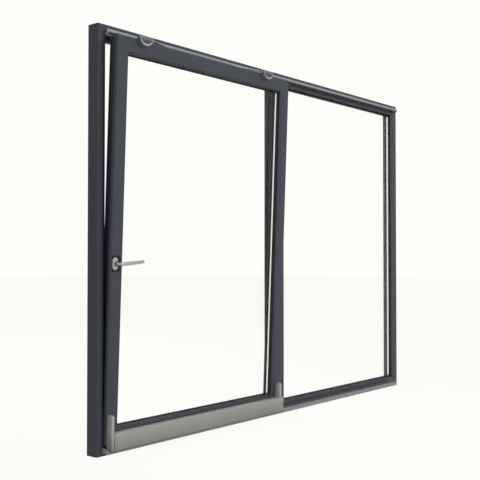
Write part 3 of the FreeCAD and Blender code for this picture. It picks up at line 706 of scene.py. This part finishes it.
def makeTrack():
    rib, half = track["rib"], track["wall"] / 2
    front, back, top = track["front"], track["back"], track["top"]
    low = track["foot"] + half
    shape = bmesh.new()
    runSheet(shape, [(back - half, top), (back - half, low), (front + half, low),
                     (front + half, top - half), (front + track["lip"], top - half)],
             track["start"], track["end"], track["sheet"])
    base = track["foot"] + track["wall"]
    runBar(shape, (rib["middle"] - rib["width"] / 2, rib["middle"] + rib["width"] / 2),
           (base - rib["sunk"], base + rib["height"]), (track["start"], track["end"]),
           rib["radius"])
    channel = finishSection("rolledTrack", shape, wornTrack, "frame")
    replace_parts(channel, "running_track")


def makeTrackStops():
    stop, base = track["stop"], track["foot"] + track["wall"]
    shape = bmesh.new()
    for start in (track["start"], track["end"] - stop["length"]):
        runBar(shape, (track["front"] + stop["gap"], track["back"] - stop["gap"]),
               (base, track["top"] - stop["drop"]), (start, start + stop["length"]),
               stop["radius"])
    stops = finishSection("trackStops", shape, greyCaps, "frame")
    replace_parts(stops, "track_end_stops")


makeTrack()
makeTrackStops()
print("stage: track")

# Guide rail: a thin black rubber sheet lines its slot and shows as a dark line along its lower
# edge: painted shadow of the gap under the rail
railShadeStrip = {"run": (-1.458, 1.458), "front": -0.0662, "slot": -0.0575, "foot": 2.0993,
         "high": 2.1095, "wall": 0.0006}
shape = bmesh.new()
runSheet(shape, [(railShadeStrip["front"], railShadeStrip["high"]), (railShadeStrip["front"], railShadeStrip["foot"]),
                 (railShadeStrip["slot"], railShadeStrip["foot"])], *railShadeStrip["run"], railShadeStrip["wall"])
finishSection("railShadowStrip", shape, epdmRubber, "frame")


# A rectangular rubber strip: rect is x and z of the opening, grown along Y from near to far
def addStrip(shape, rect, near, far, wall):
    corners = [(rect[0], rect[1]), (rect[2], rect[1]), (rect[2], rect[3]), (rect[0], rect[3])]
    verts = [shape.verts.new((x, near, z)) for x, z in corners]
    edges = [shape.edges.new((verts[i], verts[(i + 1) % 4])) for i in range(4)]
    grown = bmesh.ops.extrude_edge_only(shape, edges=edges)["geom"]
    bmesh.ops.translate(shape, verts=onlyVerts(grown), vec=(0, far - near, 0))
    faces = onlyFaces(grown)
    bmesh.ops.recalc_face_normals(shape, faces=faces)
    bmesh.ops.solidify(shape, geom=faces, thickness=wall)


# Deep glazing seals line the beads on the room side and the lips outside, and a lip hangs down
# under the top bead.
# They are drawn black along the whole depth of these faces and the fixed light's top lip is 12 mm
# deep: partly real seals, partly painted shade in the glazing reveal
glazing = {
    "wall": 0.0012,
    "lipThickness": 0.002,
    "lipRadius": 0.0005,
    "sash": {"rect": (-1.385, 0.133, -0.123, 2.007), "room": (-0.0525, -0.0290),
             "out": (-0.005, 0.0055), "topLip": 0.002},
    "fixed": {"rect": (0.048, 0.072, 1.428, 2.078), "room": (-0.0275, -0.0090),
              "out": (0.015, 0.0255), "topLip": 0.012},
}
for name, body in (("sash", "sash"), ("fixed", "frame")):
    place = glazing[name]
    x0, z0, x1, z1 = place["rect"]
    margin = glazing["wall"] / 2
    rect = (x0 + margin, z0 + margin, x1 - margin, z1 - margin)
    far = place["room"][1]
    shape = bmesh.new()
    addStrip(shape, rect, *place["room"], glazing["wall"])
    addStrip(shape, rect, *place["out"], glazing["wall"])
    runBar(shape, (far - glazing["lipThickness"], far), (z1 - place["topLip"], z1), (x0, x1),
           glazing["lipRadius"])
    finishSection(f"{name}GlazingSealsAndShade", shape, epdmRubber, body, body == "sash")

# Lip seals in the gap between the jamb and the sash: one behind the sash, one on its rear edge
lipSeals = {
    "radius": 0.0006,
    "jamb": {"run": (-1.430, -1.4150), "y": (0.026, 0.0285), "z": (0.074, 2.076)},
    "stile": {"run": (-1.4495, -1.442), "y": (0.008, 0.0105), "z": (0.075, 2.075)},
}
for name, body, material in (("jamb", "frame", epdmRubber), ("stile", "sash", darkPlastic)):
    place = lipSeals[name]
    shape = bmesh.new()
    runBar(shape, place["y"], place["z"], place["run"], lipSeals["radius"])
    finishSection(f"{name}LipSeal", shape, material, body, body == "sash")

# A thin black sheet covers the jamb's inner edge, on its face and round the corner: painted shade
# on the rebate, where the sash shades the jamb
rebateShadeSheet = {"face": (-1.4680, -1.4550), "side": (-1.4550, -1.4544), "z": (0.0460, 2.1040),
          "y": (-0.0384, -0.0380, -0.0140), "radius": 0.0001}
front, corner, back = rebateShadeSheet["y"]
shape = bmesh.new()
runBar(shape, (front, corner), rebateShadeSheet["z"], rebateShadeSheet["face"], rebateShadeSheet["radius"])
runBar(shape, (corner, back), rebateShadeSheet["z"], rebateShadeSheet["side"], rebateShadeSheet["radius"])
finishSection("jambRebateShadeSheet", shape, epdmRubber, "frame")
print("stage: seals")

# Screws: a low dome with a round recess
screw = {"sides": 16, "taper": 0.84, "rim": 0.30, "chamfer": 0.02, "depth": 0.6}


def addScrew(shape, place, radius, height):
    circle = bmesh.ops.create_circle(shape, cap_ends=True, segments=screw["sides"],
                                     radius=radius)["verts"]
    foot = circle[0].link_faces[0]
    grown = bmesh.ops.extrude_face_region(shape, geom=[foot])["geom"]
    top = onlyFaces(grown)[0]
    made = set(circle) | set(top.verts)
    bmesh.ops.translate(shape, verts=top.verts[:], vec=(0, 0, height))
    bmesh.ops.scale(shape, verts=top.verts[:], vec=(screw["taper"], screw["taper"], 1))
    for thickness, depth in ((radius * screw["rim"], 0.0),
                             (radius * screw["chamfer"], -height * screw["depth"])):
        ring = bmesh.ops.inset_individual(shape, faces=[top], thickness=thickness, depth=depth)
        made |= {v for f in ring["faces"] for v in f.verts} | set(top.verts)
    bmesh.ops.transform(shape, matrix=place, verts=list(made))


# Multi-point lock: a faceplate with cams on the sash's rear edge, and keeps on the jamb
lock = {
    "edge": -1.443,
    "middle": -0.002,
    "width": 0.016,
    "thickness": 0.0020,
    "sunk": 0.0002,
    "radius": 0.0006,
    "z": (0.110, 2.040),
    "cams": (0.30, 0.95, 1.60, 1.95),
    "cam": (0.009, 0.009, 0.0045, 0.0012),
    "jamb": -1.455,
    "keep": {"tall": 0.060, "wide": 0.014, "thick": 0.0025, "lift": 0.050, "screws": 0.4,
             "radius": 0.0008},
    "screw": (0.0036, 0.0011),
    "firstScrew": 0.08,
    "screwSpacing": 0.32,
    "camClearance": 0.02,
}


# A place on a wall that faces left or right: local z comes out of the wall
def facingSide(x, y, z, toLeft):
    turn = -math.pi / 2 if toLeft else math.pi / 2
    return Matrix.Translation((x, y, z)) @ Matrix.Rotation(turn, 4, "Y")


def makeFaceplate():
    middle, half = lock["middle"], lock["width"] / 2
    outer = lock["edge"] - lock["thickness"]
    low, top = lock["z"]
    shape = bmesh.new()
    runBar(shape, (middle - half, middle + half), (low, top), (outer, lock["edge"] + lock["sunk"]),
           lock["radius"])
    for z in lock["cams"]:
        addOvalPlate(shape, facingSide(outer + lock["sunk"], middle, z, True), *lock["cam"])
    high = low + lock["firstScrew"]
    while high < top:
        if all(abs(high - z) > lock["camClearance"] for z in lock["cams"]):
            addScrew(shape, facingSide(outer, middle, high, True), *lock["screw"])
        high += lock["screwSpacing"]
    finishSection("lockFaceplate", shape, blackSteel, "sash", True)


def makeKeeps():
    keep, middle = lock["keep"], lock["middle"]
    halfTall, halfWide = keep["tall"] / 2, keep["wide"] / 2
    face = lock["jamb"] + keep["thick"]
    shape = bmesh.new()
    for cam in lock["cams"]:
        z = cam + keep["lift"]
        runBar(shape, (middle - halfWide, middle + halfWide), (z - halfTall, z + halfTall),
               (lock["jamb"], face), keep["radius"])
        for share in (-keep["screws"], keep["screws"]):
            addScrew(shape, facingSide(face, middle, z + keep["tall"] * share, False),
                     *lock["screw"])
    finishSection("lockKeeps", shape, blackSteel, "frame")


makeFaceplate()
makeKeeps()

# Screws in the floor of the running track
screws = track["screws"]
firstX = track["start"] + screws["inset"]
run = track["end"] - track["start"] - 2 * screws["inset"]
shape = bmesh.new()
for step in range(screws["count"]):
    place = (firstX + run * step / (screws["count"] - 1), screws["line"],
             track["foot"] + track["wall"])
    addScrew(shape, Matrix.Translation(place), *screws["size"])
finishSection("trackScrews", shape, zincSteel, "frame")
print("stage: lock and screws")

# The bars are welded at 45 degrees: a fine scraped groove shows at each corner
weld = {
    "width": 0.0011,
    "proud": 0.00012,
    "inset": 0.007,
    "sash": {"rect": (sash["left"], sash["bottom"], sash["right"], sash["top"]),
             "bar": sash["stile"], "y": sash["room"]},
    "frame": {"rect": (-1.5, 0.0, 1.5, 2.15), "bar": 0.045, "y": -0.038},
    "low": "#33353B",
    "high": "#3C3E45",
    "grain": 700.0,
}
weldGroove, tree, surface = newMaterial("scrapedWeldGroove", {"Roughness": 0.6, "IOR": 1.5})
grain = placedNoise(tree, (weld["grain"],) * 3)
tintBetween(tree, surface, grain, weld["low"], weld["high"])


def addWeld(shape, start, end, across, outward):
    side = Vector(across).normalized() * weld["width"] / 2
    lift = Vector(outward) * weld["proud"]
    verts = [shape.verts.new(Vector(point) + sign * side + lift)
             for point, sign in ((start, -1), (start, 1), (end, 1), (end, -1))]
    face = shape.faces.new(verts)
    bmesh.ops.solidify(shape, geom=[face], thickness=weld["proud"] * 2)


def makeWelds(body):
    place, inset = weld[body], weld["inset"]
    left, bottom, right, top = place["rect"]
    bar, y = place["bar"], place["y"]
    shape = bmesh.new()
    for x, z, toX, toZ in ((left, bottom, 1, 1), (right, bottom, -1, 1), (right, top, -1, -1),
                           (left, top, 1, -1)):
        addWeld(shape, (x + toX * inset, y, z + toZ * inset), (x + toX * bar, y, z + toZ * bar),
                (toX, 0, -toZ), (0, -1, 0))
    finishPiece(f"{body}Welds", shape, weldGroove, body, body == "sash")


makeWelds("sash")
makeWelds("frame")
print("stage: welds")

# Stage: pale floor and world that read white to the camera, glass and metal
studio = {"white": "#FDFEF9", "worldTint": "#F4F5F7", "worldLight": 0.155, "floorTint": "#F2F2EF",
          "floorSize": 30.0, "floorRoughness": 0.8, "floorGlow": 1.05, "shadowShare": 0.10}


def showBright(tree, plain, bright):
    rays = addNode(tree, "ShaderNodeLightPath")
    first = addNode(tree, "ShaderNodeMath", {"operation": "MAXIMUM"},
                    {0: rays.outputs["Is Camera Ray"], 1: rays.outputs["Is Glossy Ray"]})
    both = addNode(tree, "ShaderNodeMath", {"operation": "MAXIMUM"},
                   {0: first.outputs[0], 1: rays.outputs["Is Transmission Ray"]})
    return addNode(tree, "ShaderNodeMixShader", {}, {0: both.outputs[0], 1: plain, 2: bright})


world = bpy.data.worlds.new("studioWorld")
world.use_nodes = True
tree = world.node_tree
plain = tree.nodes["Background"]
plain.inputs["Color"].default_value = toLinear(studio["worldTint"])
plain.inputs["Strength"].default_value = studio["worldLight"]
bright = addNode(tree, "ShaderNodeBackground", {"Color": toLinear(studio["white"]),
                                                "Strength": 1.0})
mixed = showBright(tree, plain.outputs[0], bright.outputs[0])
tree.links.new(mixed.outputs[0], tree.nodes["World Output"].inputs["Surface"])
bpy.context.scene.world = world

shape = bmesh.new()
bmesh.ops.create_grid(shape, x_segments=1, y_segments=1, size=studio["floorSize"])
floorMesh = bpy.data.meshes.new("floor")
shape.to_mesh(floorMesh)
shape.free()
floor = bpy.data.objects.new("floor", floorMesh)
bpy.context.scene.collection.objects.link(floor)
floorPaint, tree, surface = newMaterial("paleStudioFloor", {
    "Base Color": toLinear(studio["floorTint"]), "Roughness": studio["floorRoughness"]})
glow = addNode(tree, "ShaderNodeEmission", {"Color": toLinear(studio["white"]),
                                            "Strength": studio["floorGlow"]})
kept = addNode(tree, "ShaderNodeMixShader", {0: 1.0 - studio["shadowShare"]},
               {1: surface.outputs[0], 2: glow.outputs[0]})
mixed = showBright(tree, surface.outputs[0], kept.outputs[0])
tree.links.new(mixed.outputs[0], tree.nodes["Material Output"].inputs["Surface"])
floorMesh.materials.append(floorPaint)

# Soft boxes: place, aim, size in metres and power in watts
lamps = {
    "keyFromRoom": ((-1.3, -6.6, 3.5), (-0.2, 0.0, 1.1), 4.0, 232.0),
    "fillFromLeft": ((-6.0, -1.5, 2.6), (-1.0, 0.0, 1.1), 3.0, 1.0),
    "rimFromOutside": ((1.0, 5.5, 3.4), (0.0, 0.0, 1.2), 3.5, 80.0),
}
for name, (place, aim, size, power) in lamps.items():
    data = bpy.data.lights.new(name, "AREA")
    data.shape = "SQUARE"
    data.size = size
    data.energy = power
    light = bpy.data.objects.new(name, data)
    bpy.context.scene.collection.objects.link(light)
    light.location = place
    light.rotation_euler = (Vector(aim) - Vector(place)).to_track_quat("-Z", "Y").to_euler()
    light.visible_transmission = False  # no lamp shows as a white square behind the glass

# Camera at the photograph's view
lens = {"place": (-4.184, -3.171, 0.987), "turn": (91.17, 0.0, -50.40), "focal": 61.8,
        "sensor": 36.0}
cameraData = bpy.data.cameras.new("photoCamera")
cameraData.lens = lens["focal"]
cameraData.sensor_width = lens["sensor"]
camera = bpy.data.objects.new("photoCamera", cameraData)
bpy.context.scene.collection.objects.link(camera)
camera.location = lens["place"]
camera.rotation_euler = [math.radians(angle) for angle in lens["turn"]]
bpy.context.scene.camera = camera
bpy.context.scene.view_settings.view_transform = "Standard"
print("stage: floor, lamps and camera")
